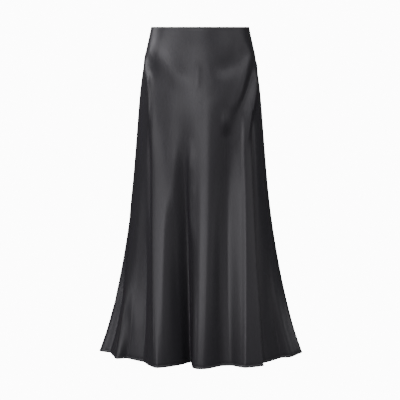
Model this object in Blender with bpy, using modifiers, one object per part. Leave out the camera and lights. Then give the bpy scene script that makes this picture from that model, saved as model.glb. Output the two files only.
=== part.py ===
"""Mermaid fishtail skirt in satin, filled out as worn and hollow inside.

The skirt hangs from its waist. The origin is the middle of the waist opening, +Z is up, the centre
front faces -Y and the wearer's left side is at +X. Each panel starts as a flat slab of cloth and is
draped over one form: oval sections give the figure and the flare, and fold lines give the flutes.
All lengths are in metres and all bearings in degrees, counted from the centre front towards +X.
"""

import math

import bmesh
import bpy
from mathutils import Matrix, Vector

# Driving dimensions of the cloth.
LENGTH = 0.850
CLOTH = 0.0015
SEAM_GAP = 0.0003
ROWS = 20

# Horizontal sections of the form, for a waist of 68 cm and hips of 88 cm.
# drop below the waist, half width, depth in front of the side line, depth behind it
SECTIONS = (
    (0.000, 0.1256, 0.086, 0.092),
    (0.025, 0.1310, 0.090, 0.098),
    (0.050, 0.1367, 0.094, 0.104),
    (0.100, 0.1457, 0.101, 0.115),
    (0.150, 0.1530, 0.107, 0.123),
    (0.200, 0.1582, 0.110, 0.128),
    (0.260, 0.1631, 0.112, 0.130),
    (0.320, 0.1680, 0.114, 0.130),
    (0.400, 0.1752, 0.118, 0.131),
    (0.480, 0.1846, 0.126, 0.137),
    (0.560, 0.1971, 0.138, 0.148),
    (0.640, 0.2120, 0.152, 0.163),
    (0.720, 0.2302, 0.167, 0.181),
    (0.790, 0.2493, 0.179, 0.196),
    (0.850, 0.2700, 0.188, 0.210),
)

# Fold lines, once round from the left seam. A line runs from its bearing at the waist to its bearing
# at the hem, and stands in or out of the oval by "out" at the hem. It starts at the drop "start", and
# a low "ease" lets it grow early. "hang" lines drop straight, "swing" lines stay at the side down to
# the knee and then come forward. "columns" is the number of mesh columns from a line to the next.
# name, waist bearing, hem bearing, out, start, ease, path, columns
FOLDS = (
    ("left_seam", -90.0, -68.0, -0.0290, 0.42, 0.45, "swing", 3),
    ("left_seam_roll", -79.4, -58.5, -0.0185, 0.42, 0.35, "swing", 3),
    ("left_hollow", -76.0, -53.5, -0.0385, 0.30, 1.50, "hang", 3),
    ("left_facet", -73.4, -44.7, -0.0345, 0.24, 0.74, "hang", 3),
    ("first_flute_wall", -70.2, -33.0, -0.0087, 0.10, 0.16, "hang", 3),
    ("first_flute", -67.1, -22.3, 0.0091, 0.05, 0.06, "hang", 2),
    ("first_flute_side", -41.0, -20.2, 0.0036, 0.14, 0.40, "hang", 3),
    ("deep_hollow_left", -38.1, -12.8, -0.0334, 0.33, 0.38, "hang", 3),
    ("deep_hollow", -20.2, -6.0, -0.0586, 0.16, 0.36, "hang", 4),
    ("deep_hollow_right", -2.9, -3.8, -0.0018, 0.19, 0.23, "hang", 2),
    ("second_flute", 3.6, -0.5, 0.0071, 0.10, 0.17, "hang", 2),
    ("second_flute_side", 12.7, 1.7, 0.0079, 0.09, 0.06, "hang", 4),
    ("middle_hollow", 25.1, 13.8, -0.0224, 0.05, 0.36, "hang", 2),
    ("third_flute_foot", 29.7, 17.4, -0.0192, 0.13, 0.06, "hang", 3),
    ("third_flute_wall", 49.3, 21.5, -0.0011, 0.28, 0.55, "hang", 3),
    ("third_flute", 57.7, 24.9, 0.0109, 0.06, 0.06, "hang", 3),
    ("third_flute_side", 60.7, 35.3, 0.0090, 0.08, 0.06, "hang", 3),
    ("right_step", 63.7, 37.4, -0.0168, 0.19, 0.29, "hang", 3),
    ("right_shelf", 67.5, 43.6, -0.0212, 0.28, 0.53, "hang", 4),
    ("right_hollow", 70.1, 58.6, -0.0380, 0.19, 1.50, "hang", 3),
    ("right_flute_foot", 73.4, 62.4, -0.0065, 0.40, 0.45, "hang", 4),
    ("right_flute_face", 85.8, 79.2, -0.0167, 0.39, 0.63, "hang", 3),
    ("right_flute", 98.0, 87.0, -0.0010, 0.30, 0.40, "hang", 4),
    ("right_seam", 105.0, 100.0, -0.0340, 0.30, 0.40, "hang", 5),
    ("back_flute_a", 114.0, 111.0, 0.0020, 0.28, 0.40, "hang", 4),
    ("back_hollow_a", 124.0, 121.5, -0.0390, 0.24, 0.40, "hang", 5),
    ("back_flute_b", 135.0, 133.0, 0.0020, 0.26, 0.40, "hang", 5),
    ("back_hollow_b", 147.0, 146.5, -0.0330, 0.22, 0.40, "hang", 5),
    ("back_flute_c", 158.0, 158.5, 0.0000, 0.24, 0.40, "hang", 5),
    ("back_hollow_c", 169.0, 170.5, -0.0430, 0.20, 0.40, "hang", 5),
    ("back_flute_d", 180.0, 183.0, 0.0030, 0.22, 0.40, "hang", 5),
    ("back_hollow_d", 191.0, 195.5, -0.0350, 0.23, 0.40, "hang", 5),
    ("back_flute_e", 202.0, 209.0, 0.0000, 0.25, 0.40, "hang", 5),
    ("back_hollow_e", 213.0, 221.0, -0.0400, 0.22, 0.40, "hang", 5),
    ("back_flute_f", 224.0, 232.0, 0.0020, 0.26, 0.40, "hang", 5),
    ("back_hollow_f", 237.1, 245.7, -0.0298, 0.27, 0.90, "hang", 5),
    ("left_flute", 257.0, 268.0, -0.0035, 0.35, 0.42, "hang", 5),
    ("left_flute_face", 267.0, 278.5, -0.0330, 0.43, 0.54, "swing", 3),
)
KNEE_DROP = 0.50
SWING_GROWTH = 1.15

# Concealed zip in the seam at the wearer's left.
ZIP_LENGTH = 0.190
ZIP_TOP = 0.004
TAPE_HALF_WIDTH = 0.011
TAPE_THICK = 0.0010
TAPE_COLUMNS = 4
TAPE_ROWS = 12

# Slider: a flat body on the seam with a low bridge that the pull hangs from.
SLIDER_DROP = 0.014
SLIDER_LENGTH = 0.0100
SLIDER_WIDTH = 0.0048
SLIDER_THICK = 0.0012
SLIDER_ROUND = 0.0004
BRIDGE_LENGTH = 0.0066
BRIDGE_WIDTH = 0.0024
BRIDGE_STOCK = 0.0009
BRIDGE_CORNER = 0.0014
PIVOT_HEIGHT = 0.0011
PIVOT_CLEAR = 0.0011

# Pull: a slim teardrop plate with a window round the bridge.
PULL_LENGTH = 0.0240
PULL_TOP_WIDTH = 0.0056
PULL_END_WIDTH = 0.0072
PULL_THICK = 0.0009
PULL_BAR = 0.0012
WINDOW_WIDTH = 0.0034
WINDOW_LENGTH = 0.0046
END_STEPS = 12
CORNER_STEPS = 5

# Small steps of the method.
TURN_STEP = 0.05
DROP_STEP = 0.0005
MERGE = 0.000001
SHARP_ANGLE = 50.0
FLAT_TO_UPRIGHT = Matrix(((0, 0, 1, 0), (1, 0, 0, 0), (0, 1, 0, 0), (0, 0, 0, 1)))


def clear_scene():
    """Remove every object, so that only the skirt is left."""
    for thing in list(bpy.data.objects):
        bpy.data.objects.remove(thing, do_unlink=True)


def smooth_table(rows, column, at):
    """Read one column of a table at a drop, on a smooth curve through its rows."""
    last = len(rows) - 1
    i = 0
    while i < last - 1 and at > rows[i + 1][0]:
        i += 1
    before, low, high, after = rows[max(i - 1, 0)], rows[i], rows[i + 1], rows[min(i + 2, last)]
    span = high[0] - low[0]
    part = (at - low[0]) / span
    slope_low = (high[column] - before[column]) / (high[0] - before[0]) * span
    slope_high = (after[column] - low[column]) / (after[0] - low[0]) * span
    return hermite(part, low[column], high[column], slope_low, slope_high)


def hermite(part, start, end, slope_start, slope_end):
    """Cubic between two values with the given slopes, at a part from 0 to 1."""
    square = part * part
    cube = square * part
    return (
        (2 * cube - 3 * square + 1) * start
        + (cube - 2 * square + part) * slope_start
        + (3 * square - 2 * cube) * end
        + (cube - square) * slope_end
    )


def hang_share(half_width):
    """1 at the waist and 0 at the hem, so that a line with this share hangs straight down."""
    waist, hem = 1.0 / SECTIONS[0][1], 1.0 / SECTIONS[-1][1]
    return (1.0 / half_width - hem) / (waist - hem)


def swing_share(drop):
    """1 down to the knee, then falling to 0 at the hem."""
    below = max(drop - KNEE_DROP, 0.0) / (LENGTH - KNEE_DROP)
    return 1.0 - below ** SWING_GROWTH


def fold_lines(drop, half_width):
    """Bearing and offset of every fold line at a drop, with the slopes of a curve through them."""
    shares = {"hang": hang_share(half_width), "swing": swing_share(drop)}
    bearings, offsets = [], []
    for _, waist, hem, out, start, ease, path, _ in FOLDS:
        bearings.append(hem + (waist - hem) * shares[path])
        grown = max(drop - start, 0.0) / (LENGTH - start)
        offsets.append(out * grown ** 2 / (grown ** 2 + ease * (1.0 - grown)))
    count = len(FOLDS)
    spans = [(bearings[(i + 1) % count] - bearings[i]) % 360.0 for i in range(count)]
    rises = [(offsets[(i + 1) % count] - offsets[i]) / spans[i] for i in range(count)]
    slopes = []
    for i in range(count):
        before, after = rises[i - 1], rises[i]
        if before * after <= 0.0:
            slopes.append(0.0)
            continue
        weight_before = 2 * spans[i] + spans[i - 1]
        weight_after = spans[i] + 2 * spans[i - 1]
        slopes.append((weight_before + weight_after) / (weight_before / before + weight_after / after))
    return bearings, offsets, spans, slopes


class Section:
    """One horizontal section of the form: an oval with the fold lines on it."""

    def __init__(self, drop):
        self.drop = drop
        self.half, self.front, self.back = (smooth_table(SECTIONS, column, drop) for column in (1, 2, 3))
        self.bearings, self.offsets, self.spans, self.slopes = fold_lines(drop, self.half)

    def bearing(self, place):
        """Bearing at a place between fold lines: 2.5 is halfway from line 2 to line 3."""
        line = int(math.floor(place))
        turns, line = divmod(line, len(FOLDS))
        return self.bearings[line] + self.spans[line] * (place - math.floor(place)) + 360.0 * turns

    def offset(self, bearing):
        """How far the cloth stands out of the oval at a bearing."""
        from_seam = (bearing - self.bearings[0]) % 360.0
        line = 0
        while from_seam > self.spans[line] and line < len(FOLDS) - 1:
            from_seam -= self.spans[line]
            line += 1
        span = self.spans[line]
        following = (line + 1) % len(FOLDS)
        return hermite(
            from_seam / span,
            self.offsets[line],
            self.offsets[following],
            self.slopes[line] * span,
            self.slopes[following] * span,
        )

    def point(self, bearing):
        """Point of the outer face of the cloth at a bearing."""
        angle = math.radians(bearing)
        depth = self.front if math.cos(angle) > 0.0 else self.back
        on_oval = Vector((self.half * math.sin(angle), -depth * math.cos(angle), -self.drop))
        out = Vector((depth * math.sin(angle), -self.half * math.cos(angle), 0.0)).normalized()
        return on_oval + out * self.offset(bearing)


def section(drop, known={}):
    """The section at a drop, worked out once."""
    if drop not in known:
        known[drop] = Section(drop)
    return known[drop]


def surface(drop, bearing):
    """Point, tangents across and down, and outward normal of the outer face."""
    ring = section(drop)
    point = ring.point(bearing)
    across = (ring.point(bearing + TURN_STEP) - ring.point(bearing - TURN_STEP)).normalized()
    upper, lower = max(drop - DROP_STEP, 0.0), min(drop + DROP_STEP, LENGTH)
    down = (section(lower).point(bearing) - section(upper).point(bearing)).normalized()
    return point, across, down, down.cross(across).normalized()


def level_inward(normal):
    """Step that goes one unit inwards through the cloth and keeps its level."""
    level = Vector((normal.x, normal.y, 0.0))
    return -level / level.length_squared


def flat_slab(columns, rows):
    """A closed flat slab of cloth, 1 wide, 1 long and 1 thick, in the corner at the origin."""
    mesh = bmesh.new()
    bmesh.ops.create_grid(mesh, x_segments=columns, y_segments=rows, size=0.5)
    bmesh.ops.translate(mesh, verts=mesh.verts, vec=(0.5, 0.5, 0.0))
    grown = bmesh.ops.extrude_face_region(mesh, geom=mesh.faces[:], use_keep_orig=True)
    raised = [item for item in grown["geom"] if isinstance(item, bmesh.types.BMVert)]
    bmesh.ops.translate(mesh, verts=raised, vec=(0.0, 0.0, 1.0))
    return mesh


def drape(name, slab, lay):
    """Lay each point of a slab where lay(across, down, through) puts it, and make it an object."""
    for vert in slab.verts:
        vert.co = lay(*vert.co)
    bmesh.ops.recalc_face_normals(slab, faces=slab.faces)
    bmesh.ops.triangulate(slab, faces=slab.faces)
    return make_object(name, slab)


def make_object(name, source):
    """Turn a bmesh into an object of the skirt's collection."""
    mesh = bpy.data.meshes.new(name)
    source.to_mesh(mesh)
    source.free()
    thing = bpy.data.objects.new(name, mesh)
    collection.objects.link(thing)
    return thing


def line_number(name):
    """Place of a fold line in the table."""
    return [row[0] for row in FOLDS].index(name)


def column_places(first, last):
    """Places of the mesh columns from one fold line to another."""
    places = [float(first)]
    for line in range(first, last):
        columns = FOLDS[line % len(FOLDS)][7]
        places += [line + (step + 1) / columns for step in range(columns)]
    return places


def panel(name, first, last):
    """A panel of cloth from one seam to the next, half a seam gap inside each."""
    places = column_places(first, last)
    columns = len(places) - 1

    def lay(across, down, through):
        column = round(across * columns)
        ring = section(round(down * ROWS) / ROWS * LENGTH)
        point, tangent, _, normal = surface(ring.drop, ring.bearing(places[column]))
        point = point + level_inward(normal) * CLOTH * through
        if column == 0:
            return point + tangent * SEAM_GAP / 2.0
        if column == columns:
            return point - tangent * SEAM_GAP / 2.0
        return point

    return drape(name, flat_slab(columns, ROWS), lay)


def zip_tape(name, seam):
    """The two zip tapes, closed, as one strip behind the seam."""

    def lay(across, down, through):
        drop = ZIP_TOP + ZIP_LENGTH * down
        ring = section(drop)
        aside = (across - 0.5) * 2.0 * TAPE_HALF_WIDTH
        bearing = ring.bearing(seam) + math.degrees(aside / ring.half)
        point, _, _, normal = surface(drop, bearing)
        depth = CLOTH + SEAM_GAP + TAPE_THICK * through
        return point + level_inward(normal) * depth

    return drape(name, flat_slab(TAPE_COLUMNS, TAPE_ROWS), lay)


def seam_frame(seam, drop, height):
    """Frame on the cloth at a seam: X across, Y up the slope, Z out, at a height over the cloth."""
    point, _, down, normal = surface(drop, section(drop).bearing(seam))
    frame = Matrix((down.cross(normal), -down, normal)).transposed().to_4x4()
    frame.translation = point + normal * height
    return frame


def flat_shape(name, outlines, thickness):
    """A plate cut to its outlines, the first the edge and the others holes, as a mesh object."""
    outline = bpy.data.curves.new(name, "CURVE")
    outline.dimensions = "2D"
    outline.fill_mode = "BOTH"
    outline.extrude = thickness / 2.0
    for points in outlines:
        spline = outline.splines.new("POLY")
        spline.points.add(len(points) - 1)
        for slot, (x, y) in zip(spline.points, points):
            slot.co = (x, y, 0.0, 1.0)
        spline.use_cyclic_u = True
    drawn = bpy.data.objects.new(name, outline)
    collection.objects.link(drawn)
    graph = bpy.context.evaluated_depsgraph_get()
    solid = bmesh.new()
    solid.from_mesh(bpy.data.meshes.new_from_object(drawn.evaluated_get(graph)))
    bpy.data.objects.remove(drawn, do_unlink=True)
    bmesh.ops.remove_doubles(solid, verts=solid.verts, dist=MERGE)
    return make_object(name, solid)


def arc(centre_x, centre_y, radius, start, end, steps):
    """Points on a circle from one angle to another, in degrees."""
    turns = [math.radians(start + (end - start) * step / steps) for step in range(steps + 1)]
    return [(centre_x + radius * math.cos(turn), centre_y + radius * math.sin(turn)) for turn in turns]


def arch(half, top, corner):
    """Points of an arch, from its right foot over the top to its left foot, in the slider's body."""
    right = arc(half - corner, top - corner, corner, 0.0, 90.0, CORNER_STEPS)
    left = arc(corner - half, top - corner, corner, 90.0, 180.0, CORNER_STEPS)
    foot = SLIDER_THICK / 2.0
    return [(half, foot)] + right + left + [(-half, foot)]


def zip_slider(name, seam):
    """Slider body, lying on the seam, with its bridge."""
    bpy.ops.mesh.primitive_cube_add(size=1.0)
    body = bpy.context.object
    body.name = name
    body.data.name = name
    for other in body.users_collection:
        other.objects.unlink(body)
    collection.objects.link(body)
    body.data.transform(Matrix.Diagonal((SLIDER_WIDTH, SLIDER_LENGTH, SLIDER_THICK, 1.0)))
    body.data.transform(Matrix.Translation((0.0, 0.0, SLIDER_THICK / 2.0)))
    rounding = body.modifiers.new("rounding", "BEVEL")
    rounding.width = SLIDER_ROUND
    rounding.segments = 2

    half = BRIDGE_LENGTH / 2.0
    crown = SLIDER_THICK + PIVOT_HEIGHT + PIVOT_CLEAR
    outside = arch(half, crown + BRIDGE_STOCK, BRIDGE_CORNER + BRIDGE_STOCK)
    inside = arch(half - BRIDGE_STOCK, crown, BRIDGE_CORNER)
    bridge = flat_shape("bridge", [outside + inside[::-1]], BRIDGE_WIDTH)
    bridge.data.transform(FLAT_TO_UPRIGHT)
    bridge.hide_render = True
    bridge.display_type = "WIRE"
    collection.objects.unlink(bridge)
    cutters.objects.link(bridge)
    joined = body.modifiers.new("bridge", "BOOLEAN")
    joined.operation = "UNION"
    joined.object = bridge
    bridge.matrix_world = seam_frame(seam, SLIDER_DROP, SEAM_GAP)
    body.matrix_world = bridge.matrix_world
    return body


def zip_pull(name, seam):
    """Teardrop pull, hanging flat along the cloth from the bridge."""
    top = PULL_BAR / 2.0
    end = PULL_END_WIDTH / 2.0
    side = PULL_TOP_WIDTH / 2.0
    foot = top + end - PULL_LENGTH
    shoulder = -top - WINDOW_LENGTH - PULL_BAR
    edge = [(side, top), (-side, top), (-side, shoulder)]
    edge += arc(0.0, foot, end, 180.0, 360.0, END_STEPS)
    edge += [(side, shoulder)]
    hole = WINDOW_WIDTH / 2.0
    window = [(hole, -top), (hole, -top - WINDOW_LENGTH), (-hole, -top - WINDOW_LENGTH), (-hole, -top)]
    pull = flat_shape(name, [edge, window], PULL_THICK)
    pull.matrix_world = seam_frame(seam, SLIDER_DROP, SEAM_GAP + SLIDER_THICK + PIVOT_HEIGHT)
    return pull


def finish(thing, name, colour, roughness, metallic=0.0):
    """Give a piece its own material."""
    material = bpy.data.materials.new(name)
    material.use_nodes = True
    shader = material.node_tree.nodes["Principled BSDF"]
    shader.inputs["Base Color"].default_value = (*colour, 1.0)
    shader.inputs["Roughness"].default_value = roughness
    shader.inputs["Metallic"].default_value = metallic
    thing.data.materials.clear()
    thing.data.materials.append(material)
    thing.data.shade_smooth()
    thing.data.set_sharp_from_angle(angle=math.radians(SHARP_ANGLE))


clear_scene()
collection = bpy.data.collections.new("mermaid_fishtail_skirt")
cutters = bpy.data.collections.new("cutters")
bpy.context.scene.collection.children.link(collection)
bpy.context.scene.collection.children.link(cutters)

SATIN = (0.055, 0.055, 0.062)
right_seam = line_number("right_seam")

finish(panel("front_panel", 0, right_seam), "front_satin", SATIN, 0.38)
finish(panel("back_panel", right_seam, len(FOLDS)), "back_satin", SATIN, 0.38)
finish(zip_tape("zip_tape", right_seam), "zip_tape_weave", (0.030, 0.030, 0.034), 0.75)
finish(zip_slider("zip_slider", right_seam), "slider_enamel", (0.045, 0.045, 0.050), 0.35, 0.4)
finish(zip_pull("zip_pull", right_seam), "pull_enamel", (0.045, 0.045, 0.050), 0.35, 0.4)
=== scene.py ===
# %% [markdown]
# # A mermaid skirt in charcoal satin
# The skirt hangs from its waist as if someone wore it. It is close over the hips and opens from the
# knee into soft flutes. A fixed frame of plain solids is loaded first, and every piece made here lies
# on that frame and rides on one of its bodies. All lengths are in metres, except where a name or a
# comment says millimetres.

import math

import bmesh
import bpy
import numpy as np
from mathutils import Matrix, Vector


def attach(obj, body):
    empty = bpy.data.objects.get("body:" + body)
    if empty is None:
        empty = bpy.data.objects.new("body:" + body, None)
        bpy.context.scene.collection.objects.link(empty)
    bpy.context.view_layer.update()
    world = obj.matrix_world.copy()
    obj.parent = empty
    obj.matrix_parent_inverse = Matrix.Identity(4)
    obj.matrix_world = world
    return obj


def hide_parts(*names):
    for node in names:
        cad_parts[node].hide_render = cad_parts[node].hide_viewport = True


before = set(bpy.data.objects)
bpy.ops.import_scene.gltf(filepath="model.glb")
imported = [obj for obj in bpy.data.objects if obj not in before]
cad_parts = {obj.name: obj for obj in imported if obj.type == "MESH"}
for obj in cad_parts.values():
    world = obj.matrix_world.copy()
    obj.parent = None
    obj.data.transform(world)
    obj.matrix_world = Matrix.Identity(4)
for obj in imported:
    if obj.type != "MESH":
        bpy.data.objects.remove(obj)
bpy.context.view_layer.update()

# %% [markdown]
# ## The form that the satin hangs in
# A cutter thinks of this skirt as a row of ovals: waist, hips, knee and hem. Between two ovals the cloth
# hangs in a smooth curve. Blender could loft a surface through curve objects, but a small table can be
# asked for any level in between, and the cloth, the thread and the zip all ask it where they lie. Each
# row is one oval: how far it is below the waist, half of its width, and its depth in front of and
# behind the side line.

# %% The ovals
MM = 0.001
LENGTH = 0.850
HIP_DROP = 0.22
OVALS = np.array(
    (
        (0.000, 0.1256, 0.086, 0.092),
        (0.025, 0.1310, 0.090, 0.098),
        (0.050, 0.1367, 0.094, 0.104),
        (0.100, 0.1457, 0.101, 0.115),
        (0.150, 0.1530, 0.107, 0.123),
        (0.200, 0.1582, 0.110, 0.128),
        (0.260, 0.1631, 0.112, 0.130),
        (0.320, 0.1680, 0.114, 0.130),
        (0.400, 0.1752, 0.118, 0.131),
        (0.480, 0.1846, 0.126, 0.137),
        (0.560, 0.1971, 0.138, 0.148),
        (0.640, 0.2120, 0.152, 0.163),
        (0.720, 0.2302, 0.167, 0.181),
        (0.790, 0.2493, 0.179, 0.196),
        (0.850, 0.2700, 0.188, 0.210),
    )
)
print(len(OVALS), "ovals in", LENGTH, "m of length")


# %% A smooth curve through the ovals
def cubic(part, start, end, slope_start, slope_end):
    """Smooth curve between two values with the given slopes, at a part from 0 to 1."""
    square = part * part
    cube = square * part
    return (
        (2 * cube - 3 * square + 1) * start
        + (cube - 2 * square + part) * slope_start
        + (3 * square - 2 * cube) * end
        + (cube - square) * slope_end
    )


def oval_at(drops):
    """Half width, front depth and back depth at each drop, as three columns."""
    last = len(OVALS) - 1
    row = np.clip(np.searchsorted(OVALS[:, 0], drops) - 1, 0, last - 1)
    before, low, high, after = (OVALS[np.clip(row + step, 0, last)] for step in (-1, 0, 1, 2))
    span = high[:, :1] - low[:, :1]
    slope_low = (high - before) / (high[:, :1] - before[:, :1]) * span
    slope_high = (after - low) / (after[:, :1] - low[:, :1]) * span
    return cubic((drops[:, None] - low[:, :1]) / span, low, high, slope_low, slope_high)[:, 1:]


widths = oval_at(np.array([0.0, HIP_DROP, LENGTH]))[:, 0] * 2
print("waist, hip and hem widths", widths.round(3))

# %% [markdown]
# ## Flutes and hollows
# A flared skirt falls into flutes because its hem is longer than the oval it hangs on. A cloth
# simulation would find flutes of its own, but not these, so each one is given. A flute has a line along
# its crest, and a hollow one along its floor. A line has a bearing at the waist and at the hem, in
# degrees from the centre front towards the wearer's left, and stands in or out of the oval at the hem.
# It starts at its own drop, and a low ease lets it grow early. "hang" lines drop straight down. "swing"
# lines keep to the side as far as the knee and then come forward, as a side seam does when the flare
# turns it. Left and right in the names are as seen from in front.

# %% The fold lines
# name, bearing at the waist, bearing at the hem, offset at the hem, drop of its start, ease, path
FOLDS = (
    ("left_seam", -90.0, -68.0, -0.0290, 0.42, 0.45, "swing"),
    ("left_seam_roll", -79.4, -58.5, -0.0185, 0.42, 0.35, "swing"),
    ("left_hollow", -76.0, -53.5, -0.0420, 0.30, 1.50, "hang"),
    ("left_facet", -69.0, -37.5, -0.0360, 0.24, 0.74, "hang"),
    ("first_flute_wall", -66.5, -28.9, -0.0065, 0.12, 0.18, "hang"),
    ("first_flute", -62.5, -23.2, 0.0108, 0.12, 0.12, "hang"),
    ("first_flute_side", -42.5, -21.5, 0.0068, 0.16, 0.54, "hang"),
    ("deep_hollow_left", -37.2, -11.1, -0.0364, 0.31, 0.30, "hang"),
    ("deep_hollow", -19.9, -6.1, -0.0621, 0.17, 0.41, "hang"),
    ("deep_hollow_right", -4.1, -4.0, -0.0049, 0.19, 0.18, "hang"),
    ("second_flute", 3.2, -1.0, 0.0072, 0.17, 0.17, "hang"),
    ("second_flute_side", 12.6, 1.2, 0.0075, 0.12, 0.12, "hang"),
    ("middle_hollow", 26.6, 13.9, -0.0230, 0.12, 0.25, "hang"),
    ("third_flute_foot", 30.0, 17.4, -0.0214, 0.12, 0.12, "hang"),
    ("third_flute_wall", 51.2, 22.3, 0.0032, 0.27, 0.50, "hang"),
    ("third_flute", 57.8, 24.4, 0.0112, 0.12, 0.12, "hang"),
    ("third_flute_side", 62.0, 35.2, 0.0092, 0.12, 0.12, "hang"),
    ("right_step", 66.0, 37.4, -0.0134, 0.16, 0.23, "hang"),
    ("right_shelf", 69.5, 43.2, -0.0213, 0.31, 0.54, "hang"),
    ("right_hollow", 73.0, 59.0, -0.0310, 0.22, 1.50, "hang"),
    ("right_flute_foot", 78.0, 66.5, -0.0150, 0.33, 0.30, "hang"),
    ("right_flute_face", 85.5, 77.0, -0.0110, 0.39, 0.63, "hang"),
    ("right_flute", 98.0, 87.0, -0.0010, 0.30, 0.40, "hang"),
    ("right_seam", 105.0, 100.0, -0.0340, 0.30, 0.40, "hang"),
    ("back_flute_a", 114.0, 111.0, 0.0020, 0.28, 0.40, "hang"),
    ("back_hollow_a", 124.0, 121.5, -0.0390, 0.24, 0.40, "hang"),
    ("back_flute_b", 135.0, 133.0, 0.0020, 0.26, 0.40, "hang"),
    ("back_hollow_b", 147.0, 146.5, -0.0330, 0.22, 0.40, "hang"),
    ("back_flute_c", 158.0, 158.5, 0.0000, 0.24, 0.40, "hang"),
    ("back_hollow_c", 169.0, 170.5, -0.0430, 0.20, 0.40, "hang"),
    ("back_flute_d", 180.0, 183.0, 0.0030, 0.22, 0.40, "hang"),
    ("back_hollow_d", 191.0, 195.5, -0.0350, 0.23, 0.40, "hang"),
    ("back_flute_e", 202.0, 209.0, 0.0000, 0.25, 0.40, "hang"),
    ("back_hollow_e", 213.0, 221.0, -0.0400, 0.22, 0.40, "hang"),
    ("back_flute_f", 224.0, 232.0, 0.0020, 0.26, 0.40, "hang"),
    ("back_hollow_f", 237.1, 245.7, -0.0298, 0.27, 0.90, "hang"),
    ("left_flute", 257.0, 268.0, -0.0035, 0.35, 0.42, "hang"),
    ("left_flute_face", 267.0, 278.5, -0.0330, 0.43, 0.54, "swing"),
)
KNEE_DROP = 0.50
SWING_GROWTH = 1.15
LINES = len(FOLDS)
LINE_NUMBER = {row[0]: number for number, row in enumerate(FOLDS)}
print(LINES, "fold lines, deepest", min(row[3] for row in FOLDS) / MM, "mm at the hem")


# %% Where the lines run
def line_slopes(offsets, spans):
    """Slope across each line that keeps the curve between lines from swinging past either of them."""
    after = (np.roll(offsets, -1, 1) - offsets) / spans
    before, span_before = np.roll(after, 1, 1), np.roll(spans, 1, 1)
    turns = before * after <= 0.0
    safe_before, safe_after = np.where(turns, 1.0, before), np.where(turns, 1.0, after)
    weight_before, weight_after = 2 * spans + span_before, spans + 2 * span_before
    mean = (weight_before + weight_after) / (weight_before / safe_before + weight_after / safe_after)
    return np.where(turns, 0.0, mean)


def fold_lines(drops):
    """Bearing, offset, span to the next line and slope of every line, one row for each drop."""
    waist, hem = 1.0 / OVALS[0, 1], 1.0 / OVALS[-1, 1]
    hang = (1.0 / oval_at(drops)[:, 0] - hem) / (waist - hem)
    below = np.maximum(drops - KNEE_DROP, 0.0) / (LENGTH - KNEE_DROP)
    shares = {"hang": hang, "swing": 1.0 - below**SWING_GROWTH}
    bearings, offsets = [], []
    for _, at_waist, at_hem, out, start, ease, path in FOLDS:
        bearings.append(at_hem + (at_waist - at_hem) * shares[path])
        grown = np.maximum(drops - start, 0.0) / (LENGTH - start)
        offsets.append(out * grown**2 / (grown**2 + ease * (1.0 - grown)))
    bearings, offsets = np.stack(bearings, 1), np.stack(offsets, 1)
    spans = np.mod(np.roll(bearings, -1, 1) - bearings, 360.0)
    return bearings, offsets, spans, line_slopes(offsets, spans)


hem_bearings = fold_lines(np.array([LENGTH]))[0][0]
print("seams at the hem", hem_bearings[0], "and", hem_bearings[LINE_NUMBER["right_seam"]], "degrees")


# %% The form itself
def cloth_form(drops, places):
    """Points of the outer face. A place of 2.5 is halfway from line 2 to line 3."""
    ovals = oval_at(drops)
    bearings, offsets, spans, slopes = fold_lines(drops)
    line = np.floor(places).astype(int)
    part = places - line
    turns, line = np.divmod(line, LINES)
    following = (line + 1) % LINES

    def pick(table, which):
        return np.take_along_axis(table, which, 1)

    span = pick(spans, line)
    angle = np.radians(pick(bearings, line) + span * part + 360.0 * turns)
    out = cubic(
        part,
        pick(offsets, line),
        pick(offsets, following),
        pick(slopes, line) * span,
        pick(slopes, following) * span,
    )
    half = ovals[:, :1]
    depth = np.where(np.cos(angle) > 0.0, ovals[:, 1:2], ovals[:, 2:3])
    level = np.stack((depth * np.sin(angle), -half * np.cos(angle)), 2)
    level /= np.linalg.norm(level, axis=2, keepdims=True)
    x = half * np.sin(angle) + level[..., 0] * out
    y = -depth * np.cos(angle) + level[..., 1] * out
    z = np.broadcast_to(-drops[:, None], x.shape)
    return np.stack((x, y, z), 2)


ROUND_STEPS = 2000
once_round = np.linspace(0.0, LINES, ROUND_STEPS)[None, :]
for drop in (0.0, HIP_DROP, LENGTH):
    ring = cloth_form(np.array([drop]), once_round)[0]
    print("round at", drop, round(float(np.linalg.norm(np.diff(ring, axis=0), axis=1).sum()), 3))

# %% [markdown]
# ## Small creases
# Satin keeps soft dents where it is pulled round the hips and where one flute leans on the next. They
# could be pushed in with a sculpting brush, but a table can be corrected one crease at a time. Each
# crease is a short path over the form with its own depth and width, and fades out at its ends, so no two
# are alike. A negative depth is a trough and a positive one a ridge.

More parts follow.
